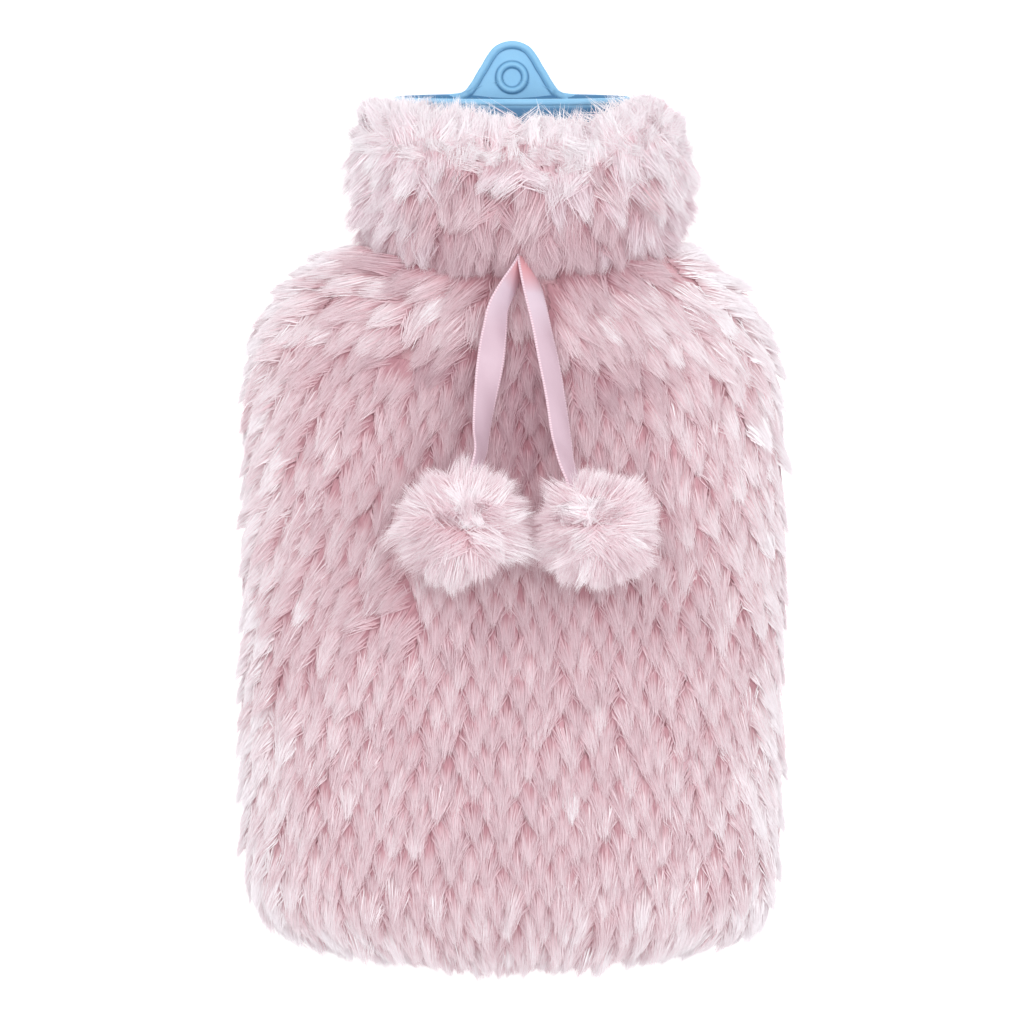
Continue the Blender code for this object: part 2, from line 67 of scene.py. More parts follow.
# height and share of the full rise, down the middle of the pouch
CROWN = (
    (0.0955, 0.78), (0.0800, 0.86), (0.0500, 0.97), (0.0100, 1.00), (-0.0900, 1.00),
    (-0.1400, 0.95), (-0.1640, 0.80), (-0.1765, 0.52), (-0.1800, 0.030),
)
SIDE_FALL = 2.4          # how late a row turns from the crown's height to the edge's
HEM_Y, HEM_ARCH, HEM_SPAN = 0.0955, 0.0095, 0.0630

# collar: share of its height, half width and half depth of its pile
COLLAR_X = 0.0040
COLLAR_TOP, COLLAR_LIFT, COLLAR_SPAN = 0.1530, 0.0095, 0.0550
COLLAR_POWER = 2.35
COLLAR_ROWS = (
    (0.00, 0.0540, 0.0290), (0.10, 0.0568, 0.0345), (0.30, 0.0596, 0.0368),
    (0.50, 0.0616, 0.0372), (0.66, 0.0628, 0.0362), (0.74, 0.0625, 0.0346),
    (0.84, 0.0620, 0.0338), (0.94, 0.0605, 0.0318), (1.00, 0.0565, 0.0280),
    (1.02, 0.0535, 0.0235), (1.00, 0.0500, 0.0200), (0.90, 0.0482, 0.0178),
)
# where the tips of the collar's topmost tufts reach: x, y
TOP_LINE = mm(
    (-68, 154), (-64, 160), (-59, 162.2), (-55, 162.8), (-50, 163.2), (-43, 164.8),
    (-40, 164.6), (-38, 161), (-34, 158.5), (-28, 157.5), (-24, 164), (-19, 165.8),
    (-14, 163.5), (-10, 158), (-4, 157.2), (2, 158), (9, 155), (15, 155.4), (21, 153.2),
    (30, 152.4), (35, 156), (43, 158.5), (48, 162.5), (54, 163.2), (60, 161.5), (65, 156.5),
    (70, 147),
)

# bottle: height, half width, half depth, up the outside, over the lip and down the funnel
BOTTLE_POWER = 2.2
BOTTLE = mm(
    (-168.5, 54, 3), (-166, 70, 9), (-157.5, 87, 15), (-135, 95.5, 19.8), (-90, 97, 21.5),
    (0, 97, 21.5), (35, 95, 21.2), (58, 86, 20.2), (74, 67, 19), (86, 46, 17.6),
    (96, 34, 15.8), (105, 29.5, 14.5), (116, 28.5, 13.8), (128, 31.5, 13.6),
    (140, 37, 13.8), (151, 42.5, 14.2), (157.5, 45.5, 14.5), (159.6, 46.1, 14.8),
    (160.2, 47, 15.5), (161.2, 47.4, 15.7), (162.1, 46.9, 15.3), (162.4, 45.8, 14.2),
    (161.7, 44, 12.2), (157, 41.5, 10.8), (148, 36.5, 10.2), (138, 30.5, 9.8),
    (130, 25.5, 9.4), (127, 21.5, 8),
)
LIP_LIFT, LIP_FROM, LIP_TOP = 0.0026, 0.1450, 0.1620

# hanging tab: height and half width of its outline, from its top down
TAB_RING_Y = 0.1716
TAB_OUTLINE = mm(
    (186.3, 0), (185.9, 2.8), (184.8, 5.6), (183.2, 7.8), (180, 10.2), (176.8, 12),
    (173.6, 14), (170.4, 15.8), (167.2, 18), (165.5, 19.8), (164.6, 22.5), (161.5, 23),
    (158.5, 21.5), (157.5, 0),
)
TAB_BACK, TAB_THICK, TAB_RELIEF = SEAM_Z - 0.0150, 0.0032, 0.0016

# the back lip's own line to the right of the tab: x, y
LIP_LINE = mm(
    (19, 164.6), (22.5, 163.9), (27, 163.6), (32, 163.5), (39, 163.2), (44, 162.2),
)

# ribbon tails: x, y, z and half width as seen
LEFT_TAIL = mm(
    (4.2, 96.8, 57, 2.2), (2.2, 92.5, 64, 2.8), (-4.6, 80, 69, 4.2), (-6.6, 70, 70.2, 5),
    (-8.4, 58, 71, 5.4), (-10.2, 44, 72.4, 4.7), (-11.7, 30, 76.2, 3.2),
    (-12.4, 20, 82.2, 2.4),
)
RIGHT_TAIL = mm(
    (5.4, 98.5, 60, 2.4), (7.8, 90, 65.5, 3.2), (11.4, 75, 69.6, 3.8),
    (15.2, 57, 71.2, 3.8), (18.2, 40, 72.6, 4), (20.3, 26, 76.5, 3.5), (22.2, 17, 82, 3),
)

POMPOM_CORE = 0.0170
LEFT_POMPOM, RIGHT_POMPOM = mm((-20, -7.8, 88.2), (33.4, -9.6, 88.2))

# where a pompom's bright locks stand, as directions from its middle
LEFT_STREAKS = (
    (0.30, 0.05, 0.95), (0.55, -0.05, 0.84), (0.10, 0.35, 0.93), (-0.35, 0.40, 0.85),
    (0.70, 0.10, 0.70), (-0.05, -0.15, 0.98),
)
RIGHT_STREAKS = (
    (0.20, -0.25, 0.95), (0.45, -0.10, 0.89), (-0.35, -0.30, 0.89), (0.35, -0.60, 0.72),
    (0.65, -0.45, 0.61), (0.50, 0.45, 0.74), (-0.05, -0.55, 0.83),
)

# ---- the pile ----
PILE, BACK_PILE, COLLAR_PILE = 0.0022, 0.0012, 0.0035   # how deep a strand's root lies
STRAND = 0.00024         # half width of a strand, unless its tuft says otherwise
CLOTH_THICK = 0.0010
BACK_FLAT = 0.0010       # the back pile's surface where the part lies on it
FRONT_TUFTS = (27, 35)   # tufts across and rows of them
BACK_TUFTS = (21, 28)
COLLAR_TUFTS = (46, 15)
COLLAR_TOP_TUFTS = (60, 24)
COLLAR_PART = 0.617      # where on the collar's rows the nap parts
HEM_TUFTS, LOOSE_TUFTS, STRAY_TUFTS = 18, 300, 340   # tufts that lie at random spots

# bent strands and straight ones in a tuft, and the half width of each kind
FRONT_STRANDS = (50, 238), (STRAND, 0.00023)
BACK_STRANDS = (16, 60), (STRAND, 0.00045)
HANGING_STRANDS = (60, 240), (STRAND, STRAND)
HANGING_HIDDEN = (20, 80), (0.00030, 0.00030)
PALE_STRANDS = (40, 170), (0.00021, 0.00021)
STANDING_STRANDS = (18, 80), (0.00020, 0.00020)
STANDING_HIDDEN = (8, 30), (0.00030, 0.00030)
POMPOM_STRANDS = (60, 195), (0.00019, 0.00019)
POMPOM_HIDDEN = (20, 70), (0.00028, 0.00028)

# painted light on the front's tone, as hills and hollows: how much, and in millimetres the
# middle's x and y, half width and half height. The hollows are painted shadow under the
# collar's hem, between the ribbons, round and under the pompoms and below the swept band at
# the neck; the one hill is a paler patch at the right shoulder
FRONT_PAINTED_LIGHT = (
    (0.10, 75, 70, 30, 30), (-0.44, 4, 40, 12, 30), (-0.20, 2, 46, 42, 22),
    (-0.60, -25, 98, 30, 6), (-0.50, 35, 98, 26, 6), (-0.25, -18, 22, 24, 8),
    (-0.20, 6, -40, 40, 8), (-0.35, -34, 62, 36, 7), (-0.35, 40, 56, 26, 7),
)
# the colour that a strand's darker tones are multiplied by; it carries random tone and painted shade
# alike
TONE_AND_SHADE_DARK = (0.62, 0.50, 0.54, 1)

RIBBON_HALF = 0.0055
TAIL_ROWS, TAIL_COLUMNS = 97, 15
BOTTLE_COLUMNS = 96
TAB_SIDES, TAB_RINGS = 160, 42
TAB_MARK = 0.0052        # radius of the tab's round mark
LIP_BEAD = 0.0013        # radius of the bead round the tab and along the back lip

# the light from all round, and the lamps: name, place, size and power
DOME = 0.61
LAMPS = (
    ("overhead", (0, 0.3, 2.2), 1.2, 14),
    ("key", (-0.8, 0.8, 1.2), 0.9, 7.5),
    ("fill", (0.9, 0.2, 1.2), 0.9, 6.5),
    ("low", (-0.1, -1.3, 0.9), 0.9, 4),
)


# ---- surfaces ----
def cubic(rows, place):
    """A smooth line through the rows, at places counted in rows: each span is the cubic
    whose slopes at its ends are half the step between the neighbours."""
    ends = np.vstack([2 * rows[0] - rows[1], rows, 2 * rows[-1] - rows[-2]])
    first = np.minimum(place.astype(int), len(rows) - 2)
    u = (place - first)[:, None]
    a, b, c, d = (ends[first + k] for k in range(4))
    return 0.5 * (2 * b + (c - a) * u + (2 * a - 5 * b + 4 * c - d) * u**2
                  + (3 * b - a - 3 * c + d) * u**3)


def along(rows, shares):
    """The smooth line through the rows, at these shares of its whole length."""
    rows = np.asarray(rows, float)
    curve = cubic(rows, np.linspace(0, len(rows) - 1, 40 * len(rows)))
    steps = np.linalg.norm(np.diff(curve, axis=0), axis=1)
    length = np.concatenate([[0], np.cumsum(steps)])
    return np.stack([np.interp(shares * length[-1], length, column) for column in curve.T], 1)


def unit(vectors):
    """The vectors at length one."""
    return vectors / np.maximum(np.linalg.norm(vectors, axis=-1, keepdims=True), 1e-9)


def dot(a, b):
    """The dot products of two lists of vectors, one to a row."""
    return np.sum(a * b, axis=-1, keepdims=True)


def within(value):
    """The value, kept between 0 and 1."""
    return np.clip(value, 0, 1)


def bell(place, wide):
    """e to minus the square of the place over the half width."""
    return np.exp(-((place / wide) ** 2))


def half_section(width, depth, shares):
    """Half of the pouch's cross section, at even lengths from its crown to its edge: x is
    the width times sine to the 0.78, the rise is the depth times cosine to the 0.92."""
    turn = np.linspace(0, np.pi / 2, 160)
    x = width * np.sin(turn) ** 0.78
    rise = RIM_RISE + (depth - RIM_RISE) * np.maximum(np.cos(turn), 0) ** 0.92
    length = np.concatenate([[0], np.cumsum(np.hypot(np.diff(x), np.diff(rise)))])
    return np.interp(shares * length[-1], length, x), np.interp(shares * length[-1], length, rise)


def pouch_surface(columns, rows, rise, side):
    """The pile of one side of the pouch: rows run across it from the hem to the bottom.

    Each row joins a crown point and two edge points by two half sections, and its height
    goes from the crown's to the edge's with the share of the way out to the power 2.4.
    """
    down = np.linspace(0, 1, rows)
    across = np.linspace(-1, 1, columns)
    middle = along(np.array(CROWN) * (1, rise), down)
    sides = along(OUTLINE, down)
    grid = np.zeros((rows, columns, 3))
    for row, (crown, edge) in enumerate(zip(middle, sides)):
        depth = max(crown[1], RIM_RISE)
        left = half_section(-edge[1], depth, -across[across < 0])
        right = half_section(edge[2], depth, across[across >= 0])
        x = np.concatenate([-left[0], right[0]])
        reach = np.abs(x) / np.where(x < 0, -edge[1], edge[2])
        grid[row, :, 0] = x
        grid[row, :, 1] = crown[0] + (edge[0] - crown[0]) * reach**SIDE_FALL
        grid[row, :, 2] = SEAM_Z + side * np.concatenate([left[1], right[1]])
    return grid


def around(turn, width, depth, power):
    """A superellipse with x to the right and z up, at angles from +X: the width times
    cosine, and the depth times sine, each to the power of two over the given one."""
    x = width * np.sign(np.cos(turn)) * np.abs(np.cos(turn)) ** (2 / power)
    z = depth * np.sign(np.sin(turn)) * np.abs(np.sin(turn)) ** (2 / power)
    return x, z


def collar_surface(columns, rows):
    """The collar's pile, from its hem up, over its top edge and down inside.

    Each row is a superellipse of the table's width and depth; its height runs from the hem
    line, a parabola in x, to the top edge, which lifts with x squared and stays under the line
    of the topmost tips.
    """
    table = along(COLLAR_ROWS, np.linspace(0, 1, rows))
    turn = np.pi / 2 - np.pi * np.linspace(-1, 1, columns)[None, :]
    x, z = around(turn, table[:, 1:2], table[:, 2:3], COLLAR_POWER)
    x = x + COLLAR_X
    low = HEM_Y + HEM_ARCH * (x / HEM_SPAN) ** 2
    high = np.minimum(COLLAR_TOP + COLLAR_LIFT * within(np.abs(x) / COLLAR_SPAN) ** 2,
                      np.interp(x, *TOP_LINE.T) - 0.0010)
    return np.stack([x, low + table[:, 0:1] * (high - low), SEAM_Z + z], -1)


class Cloth:
    """A pile's surface on a grid, read between its points.

    A spot is (s, t): s from -1 at the left to 1 at the right, t from 0 at the first row to
    1 at the last. A surface that goes all round has its first and last columns together.
    """

    def __init__(self, grid, side=1, wraps=False):
        down = np.gradient(grid, axis=0)
        over = np.gradient(grid, axis=1)
        if wraps:
            over[:, [0, -1]] = (grid[:, 1:2] - grid[:, -2:-1]) / 2
        self.wraps = wraps
        normal = unit(np.cross(down, over)) * side
        self.hand = np.sign(dot(np.cross(normal, down), over).mean())
        self.layers = np.concatenate(
            [grid, normal, unit(down),
             np.linalg.norm(down, axis=2, keepdims=True) * (grid.shape[0] - 1),
             np.linalg.norm(over, axis=2, keepdims=True) * (grid.shape[1] - 1) / 2], 2)

    def look(self, spot):
        """The grid's layers at the spots, each a mean of its four corners by nearness."""
        rows, columns = self.layers.shape[:2]
        s = (spot[:, 0] + 1) % 2 - 1 if self.wraps else np.clip(spot[:, 0], -1, 1)
        r = within(spot[:, 1]) * (rows - 1)
        c = (s + 1) / 2 * (columns - 1)
        top = np.minimum(r.astype(int), rows - 2)
        left = np.minimum(c.astype(int), columns - 2)
        down, over = (r - top)[:, None], (c - left)[:, None]
        first, second = (self.layers[top, left + k] * (1 - down)
                         + self.layers[top + 1, left + k] * down for k in (0, 1))
        return first * (1 - over) + second * over

    def read(self, spot):
        """Place, outward normal, nap down the rows and the direction across it."""
        layers = self.look(spot)
        normal = unit(layers[:, 3:6])
        nap = unit(layers[:, 6:9] - normal * dot(layers[:, 6:9], normal))
        return layers[:, :3], normal, nap, np.cross(normal, nap) * self.hand

    def shift(self, spot, across, ahead):
        """The spots moved by so many metres across and down the rows."""
        layers = self.look(spot)
        return spot + np.stack([across / np.maximum(layers[:, 10], 0.02),
                                ahead / np.maximum(layers[:, 9], 0.02)], 1)


class Ball:
    """A round core; a spot is a unit vector, and the nap runs away from the crown."""

    def __init__(self, centre, radii, crown):
        self.centre, self.radii = np.array(centre), np.array(radii)
        self.crown = np.array(crown) / np.linalg.norm(crown)

    def read(self, spot):
        """Place, outward normal, nap away from the crown and the direction across it."""
        normal = unit(spot / self.radii)
        nap = unit(normal * (normal @ self.crown)[:, None] - self.crown)
        return self.centre + spot * self.radii, normal, nap, np.cross(normal, nap)

    def shift(self, spot, across, ahead):
        """The spots moved by so many metres across and along the nap."""
        _, _, nap, side = self.read(spot)
        size = self.radii.mean()
        return unit(spot + side * across[:, None] / size + nap * ahead[:, None] / size)


# ---- meshes ----
def show(name, data, finish=None):
    """Puts a mesh, a camera or a lamp into the scene, at the origin."""
    if finish:
        data.materials.append(finish.material)
    made = bpy.data.objects.new(name, data)
    bpy.context.scene.collection.objects.link(made)
    return made


def put(name, verts, faces, finish, smooth=True):
    """Makes a piece from places and corner numbers."""
    mesh = bpy.data.meshes.new(name)
    mesh.from_pydata(np.reshape(verts, (-1, 3)).tolist(), [], [list(map(int, f)) for f in faces])
    mesh.polygons.foreach_set("use_smooth", np.full(len(mesh.polygons), smooth))
    return show(name, mesh, finish)


def net(rows, columns, closed=False):
    """The four-cornered faces of a grid, closed across its last and first columns if asked."""
    row, column = np.meshgrid(np.arange(rows - 1), np.arange(columns - (not closed)), indexing="ij")
    nxt = (column + 1) % columns
    return np.stack([row * columns + column, (row + 1) * columns + column,
                     (row + 1) * columns + nxt, row * columns + nxt], -1).reshape(-1, 4)


def ends(rows, columns):
    """The two faces that fill the first and last rings of a grid closed all round."""
    return [tuple(range(columns)), tuple(range((rows - 1) * columns, rows * columns))[::-1]]


def tube(rows, columns):
    """The faces of a grid closed all round, with its first and last rings filled."""
    return [*net(rows, columns, True), *ends(rows, columns)]


def own_map(mesh, chart):
    """Gives a mesh its own UV map from two numbers for each point."""
    corner = np.empty(len(mesh.loops), np.int32)
    mesh.loops.foreach_get("vertex_index", corner)
    layer = mesh.uv_layers.new(name="OFBake")
    layer.data.foreach_set("uv", chart[corner].astype(np.float32).ravel())


def hairs(ridged, spine, wide, soft, shade):
    """The points, faces, map and shading normals of tapering hairs.

    A hair is its spine's points but the last, each minus and plus its half width, and the
    last as its tip. A ridged hair also has each of those points raised by the half width, so
    it is a roof with a front on both sides. Its shading follows the soft normals, because
    pile scatters light evenly.
    """
    steps = spine.shape[1] - 1
    wide = wide[:, -steps:]
    base = [spine[:, :-1] - wide, spine[:, :-1] + wide]
    if ridged:
        base.append(spine[:, :-1] + np.cross(wide, unit(np.diff(spine, axis=1))))
    rim = len(base)
    points = np.stack(base, 2).reshape(len(spine), rim * steps, 3)
    points = np.concatenate([points, spine[:, -1:]], 1)
    strips = ((0, 2), (2, 1)) if ridged else ((0, 1),)
    face = [f for step in range(steps - 1) for p, q in strips
            for f in ((rim * step + p, rim * step + q, rim * step + rim + q),
                      (rim * step + p, rim * step + rim + q, rim * step + rim + p))]
    face += [(rim * (steps - 1) + p, rim * (steps - 1) + q, rim * steps) for p, q in strips]
    size = points.shape[1]
    corner = (np.array(face)[None] + size * np.arange(len(spine))[:, None, None]).reshape(-1, 3)
    up = np.append(np.repeat(np.linspace(0.02, 0.98, steps + 1)[:-1], rim), 0.98)
    over = np.append(np.tile(np.array((0.0, 0.02, 0.01))[:rim], steps), 0.01)
    chart = np.stack(np.broadcast_arrays(0.02 + 0.92 * shade[:, None] + over, up), -1)
    return points.reshape(-1, 3), corner, chart.reshape(-1, 2), np.repeat(soft, size, 0)


def fur(name, parts, finish, share=(0.0, 1.0), ridged=False):
    """Joins grown hairs into one piece; share picks a run of each part's hairs."""
    made = []
    for part in parts:
        first, last = (int(len(part[0]) * x) for x in share)
        made.append(hairs(ridged, *(column[first:last] for column in part)))
    starts = np.cumsum([0] + [len(m[0]) for m in made[:-1]])
    points, chart, soft = (np.concatenate([m[k] for m in made]) for k in (0, 2, 3))
    corner = np.concatenate([m[1] + start for m, start in zip(made, starts)])
    mesh = bpy.data.meshes.new(name)
    mesh.vertices.add(len(points))
    mesh.vertices.foreach_set("co", points.ravel().astype(np.float32))
    mesh.loops.add(corner.size)
    mesh.loops.foreach_set("vertex_index", corner.ravel().astype(np.int32))
    mesh.polygons.add(len(corner))
    mesh.polygons.foreach_set("loop_start", np.arange(0, corner.size, 3, dtype=np.int32))
    mesh.update(calc_edges=True)
    mesh.polygons.foreach_set("use_smooth", np.ones(len(corner), bool))
    own_map(mesh, chart)
    mesh.normals_split_custom_set_from_vertices(soft.tolist())
    return show(name, mesh, finish)


# ---- shader maths ----
class Value:
    """One output of a finish's nodes; arithmetic on it adds Math nodes."""

    def __init__(self, finish, end):
        self.finish, self.end = finish, end

    def maths(self, operation, first, second):
        return self.finish.node("ShaderNodeMath", {"operation": operation}, {0: first, 1: second})

    def __add__(self, other):
        return self.maths("ADD", self, other)

    def __sub__(self, other):
        return self.maths("SUBTRACT", self, other)

    def __rsub__(self, other):
        return self.maths("SUBTRACT", other, self)

    def __mul__(self, other):
        return self.maths("MULTIPLY", self, other)

    __radd__, __rmul__ = __add__, __mul__


class Finish:
    """A material with one Principled shader, and the nodes that feed it."""

    def __init__(self, name, **plain):
        self.material = bpy.data.materials.new(name)
        self.material.use_nodes = True
        self.tree = self.material.node_tree
        self.shader = self.tree.nodes["Principled BSDF"]
        for word, value in plain.items():
            self.shader.inputs[word.replace("_", " ")].default_value = value

    def node(self, kind, settings, sockets, output=0):
        """Adds a node: its settings first, a ramp's stops among them, then its sockets."""
        made = self.tree.nodes.new(kind)
        for word, value in settings.items():
            if word == "stops":
                ramp = made.color_ramp.elements
                while len(ramp) < len(value):
                    ramp.new(0.5)
                for stop, (place, colour) in zip(ramp, value):
                    stop.position, stop.color = place, colour
            else:
                setattr(made, word, value)
        for word, value in sockets.items():
            if isinstance(value, Value):
                self.tree.links.new(value.end, made.inputs[word])
            else:
                made.inputs[word].default_value = value
        return Value(self, made.outputs[output])

    def maths_of(self, operation, value):
        return self.node("ShaderNodeMath", {"operation": operation}, {0: value})

    def feed(self, word, value):
        self.tree.links.new(value.end, self.shader.inputs[word])

    def ramp(self, value, *stops):
        return self.node("ShaderNodeValToRGB", {"stops": stops}, {0: value})

    def mix(self, share, first, second, blend="MIX"):
        return self.node("ShaderNodeMix", {"data_type": "RGBA", "blend_type": blend},
                         {0: share, 6: first, 7: second}, 2)

    def noise(self, place, scale, detail=2.0):
        return self.node("ShaderNodeTexNoise", {},
                         {"Vector": place, "Scale": scale, "Detail": detail})

    def spread(self, place, sizes):
        """The place with each axis stretched by its size, through a Mapping node."""
        return self.node("ShaderNodeMapping", {}, {"Vector": place, "Scale": sizes})

    def here(self):
        return self.node("ShaderNodeTexCoord", {}, {}, "Object")

    def chart(self):
        """The two numbers of the piece's own UV map."""
        place = self.node("ShaderNodeUVMap", {"uv_map": "OFBake"}, {})
        return [self.node("ShaderNodeSeparateXYZ", {}, {0: place}, axis) for axis in (0, 1)]

    def bump(self, height, strength, distance):
        made = self.node("ShaderNodeBump", {}, {"Height": height, "Strength": strength,
                                                "Distance": distance})
        self.feed("Normal", made)


def screen(red, green, blue):
    """A linear colour from the three numbers that a screen shows, 0 to 255."""
    shown = np.array((red, green, blue)) / 255
    linear = np.where(shown <= 0.04045, shown / 12.92, ((shown + 0.055) / 1.055) ** 2.4)
    return (*linear.tolist(), 1.0)


# the colour that paler strands turn to, and the colour of a painted glow: an emission that stands in
# for the light that the pile scatters, though fur gives no light
PALE, PAINTED_GLOW = screen(247, 249, 252), screen(238, 164, 174)


def fur_finish(name, root, body, tip, painted_glow):
    """Strand colour: root to body to tip up the strand; the darker root is partly the fur's own
    colour and partly painted shade of the pile's depth. A strand's own number darkens it below
    0.74 and turns it paler above that, so it carries painted shade and painted light as well as
    random tone. A faint salmon emission is a painted glow that stands in for the light that the
    pile scatters."""
    made = Finish(name, Roughness=0.8, Specular_IOR_Level=0.2, Sheen_Weight=0.2,
                  Sheen_Roughness=0.5, Emission_Color=PAINTED_GLOW, Emission_Strength=painted_glow)
    shade, up = made.chart()
    colour = made.ramp(up, (0.38, root), (0.70, body), (1.0, tip))
    dark = made.ramp(shade, (0.0, TONE_AND_SHADE_DARK), (0.74, (1, 1, 1, 1)))
    pale = made.ramp(shade, (0.72, (0, 0, 0, 1)), (0.95, (0.85, 0.85, 0.85, 1)))
    high = made.ramp(up, (0.10, (0.45, 0.45, 0.45, 1)), (0.60, (1, 1, 1, 1)))
    colour = made.mix(1.0, colour, dark, "MULTIPLY")
    made.feed("Base Color", made.mix(pale * high, colour, PALE))
    return made


def backing_finish(name, dark, pale):
    """The short dense pile between the tufts: two noises, one stretched, between two pinks; the
    darker pink is partly the pile's own colour and partly painted shade deep among the tufts.
    """
    made = Finish(name, Roughness=0.95, Specular_IOR_Level=0.1, Sheen_Weight=0.2)
    place = made.here()
    fine = made.noise(made.spread(place, (1.0, 0.3, 1.0)), 2400, 2)
    broad = made.noise(place, 90, 2)
    made.feed("Base Color", made.ramp(fine * 0.6 + broad * 0.4, (0.3, dark), (0.7, pale)))
    made.bump(fine, 0.5, 0.0006)
    return made


# ---- tufts ----
def tuft_spots(cloth, columns, rows, rng, thin=0.0, jitter=0.09):
    """Spots of tufts in staggered rows, each jittered, as (s, t); with thin above 0 the rows
    near the start lose that share of them, as the panel is narrower there."""
    row, column = np.meshgrid(np.arange(rows), np.arange(-1, columns + 1), indexing="ij")
    row, column = row.ravel(), column.ravel()
    t = (row + 0.5 + rng.normal(0, jitter, row.size)) / rows
    s = (column + 0.5 * (row % 2) + 0.25 + rng.normal(0, jitter, row.size)) * 2 / columns - 1
    keep = (np.abs(s) < 1.0 if not cloth.wraps else (column >= 0) & (column < columns))
    keep &= rng.random(row.size) >= thin * within(1 - t / 0.2)
    return np.stack([s, t], 1)[keep]


def raised(nap, side, normal, turn, climb):
    """The nap turned towards its side and then raised out of the pile, by two angles."""
    level = nap * np.cos(turn) + side * np.sin(turn)
    return unit(level * np.cos(climb) + normal * np.sin(climb))


def grow(cloth, spot, count, rng, length, lean=0.0, rise=0.05, wide=0.0052, ahead=0.0046,
         gather=0.50, point=0.42, lift=0.0010, pile=PILE, curl=0.0, stray=0.10, strand=STRAND,
         bulge=0.5, shade=0.72, uneven=0.09, own_face=0.12, up=0.35, dim=0.0, straight=False):
    """So many strands in a tuft round each spot.

    A strand's root lies across and ahead of its tuft's spot by two even random numbers a
    and b, sunk by the pile's depth. Its way is the nap turned by the tuft's lean, raised by
    its rise. It is shorter the further it stands from the tuft's middle, by the point share
    times |a| to the 1.6, and its tip is drawn to the tuft's middle line by the gather share,
    so the tuft ends in a soft point. A straight strand has no bend between root and tip.

    Its shading normal is the pile's, turned upwards by the up share and further where the
    pile is steep, out to the tuft's side by the bulge times a, and a little to its own face.
    Its tone is the tuft's shade, less its side share times a squared, which is painted shade at
    the tuft's sides like the shadow that each lock casts on its neighbours, and uneven by a
    random part.
    """
    of = np.repeat(np.arange(len(spot)), count)
    each = (len(of), 1)
    length, lean, rise, wide, gather, curl, shade, up, dim = (
        np.broadcast_to(np.asarray(value, float), len(spot))[of][:, None]
        for value in (length, lean, rise, wide, gather, curl, shade, up, dim))
    a, b = rng.uniform(-1, 1, (2, *each))
    place, normal, nap, side = cloth.read(cloth.shift(spot[of], (a * wide)[:, 0], (b * ahead)[:, 0]))
    heart, heart_normal, heart_nap, heart_side = (x[of] for x in cloth.read(spot))
    turn = lean + rng.normal(0, stray, each) + 0.10 * a
    way = raised(nap, side, normal, turn, rise + rng.normal(0, 0.05, each))
    line = raised(heart_nap, heart_side, heart_normal, lean, rise)
    reach = length * (1 - point * np.abs(a) ** 1.6) * rng.uniform(0.78, 1.05, each)
    own = place + way * reach + normal * lift
    drawn = heart + line * (reach + 0.55 * ahead * b) + heart_normal * lift
    share = np.clip(gather + rng.normal(0, 0.13, each), 0, 0.95)
    tip = own * (1 - share) + drawn * share + heart_side * (curl * reach) - normal * (0.0011 * a**2)
    tip += rng.normal(0, 0.0003, (len(of), 3))
    root = place - normal * pile
    bend = (place + way * (0.40 * reach) + normal * (0.5 * lift - 0.0006)
            - heart_side * (0.25 * curl * reach))
    spine = np.stack([place - normal * (0.4 * pile), tip] if straight else [root, bend, tip], 1)
    spine[..., 2] = np.maximum(spine[..., 2], FLOOR_AIR)
    steep = 1 - np.abs(normal[:, 2:])
    run = unit(np.stack([tip - root, tip - bend], 1))
    wide_way = unit(np.cross(run[:, :1], unit(normal + (0, 0, 0.5) * steep)[:, None]))
    wide_way = unit(wide_way - run * dot(run, wide_way))
    roll = rng.normal(0, 0.30, (*each, 1))
    wide_way = wide_way * np.cos(roll) - np.cross(wide_way, run) * np.sin(roll)
    half = strand * rng.uniform(0.7, 1.4, (*each, 1)) * np.array([[0.8], [1.0]])
    face = unit(np.cross(wide_way[:, 0], run[:, 0]))
    above = np.sign(face[:, 2:]) * (up + 1.9 * steep**2) * (0, 0, 1.0)
    soft = unit(normal + above + heart_side * (bulge * a) + own_face * face)
    tone_and_painted_light = (shade + rng.normal(0, 0.07, (len(spot), 1))[of] + rng.normal(0, uneven, each)
            - dim * a**2)
    return spine, wide_way * half, soft, within(tone_and_painted_light)[:, 0]


def coat(cloth, spot, strands, rng, facts, chosen=slice(None)):
    """The bent strands and then the straight ones of the chosen tufts. A fact that is one
    number holds for every tuft."""
    facts = {word: value[chosen] if np.ndim(value) else value for word, value in facts.items()}
    return [grow(cloth, spot[chosen], count, rng, strand=half, straight=straight, **facts)
            for count, half, straight in zip(*strands, (False, True))]


def ball_spots(count, rng):
    """Spots spread evenly over a ball: heights at even steps, each turned by the golden
    angle from the last, and a little jitter."""
    step = np.arange(count)
    height = 1 - 2 * (step + 0.5) / count
    turn = step * np.pi * (3 - np.sqrt(5))
    wide = np.sqrt(1 - height**2)
    spot = np.stack([wide * np.cos(turn), wide * np.sin(turn), height], 1)
    return unit(spot + rng.normal(0, 0.05, spot.shape))


# ---- the pieces ----
def skin_of(name, grid, side, depth, finish, closed=False):
    """The backing cloth: the pile's surface sunk along its normal by a depth, with a wall."""
    normal = Cloth(grid, side, closed).layers[..., 3:6]
    sunk = grid - normal * depth
    sunk[..., 2] = np.maximum(sunk[..., 2], FLOOR_AIR + CLOTH_THICK)
    if closed:
        sunk = sunk[:, :-1]
    faces = net(*sunk.shape[:2], closed)
    flip = np.cross(sunk[1, 0] - sunk[0, 0], sunk[0, 1] - sunk[0, 0]) @ normal[0, 0] < 0
    made = put(name, sunk, faces[:, ::-1] if flip else faces, finish)
    wall = made.modifiers.new("wall", "SOLIDIFY")
    wall.thickness, wall.offset = CLOTH_THICK, -1
    return made


def hill(place, x, y, wide, tall):
    """A soft hill over the plane: one bell across times one up it, about its middle."""
    return bell(place[:, 0] - x, wide) * bell(place[:, 1] - y, tall)


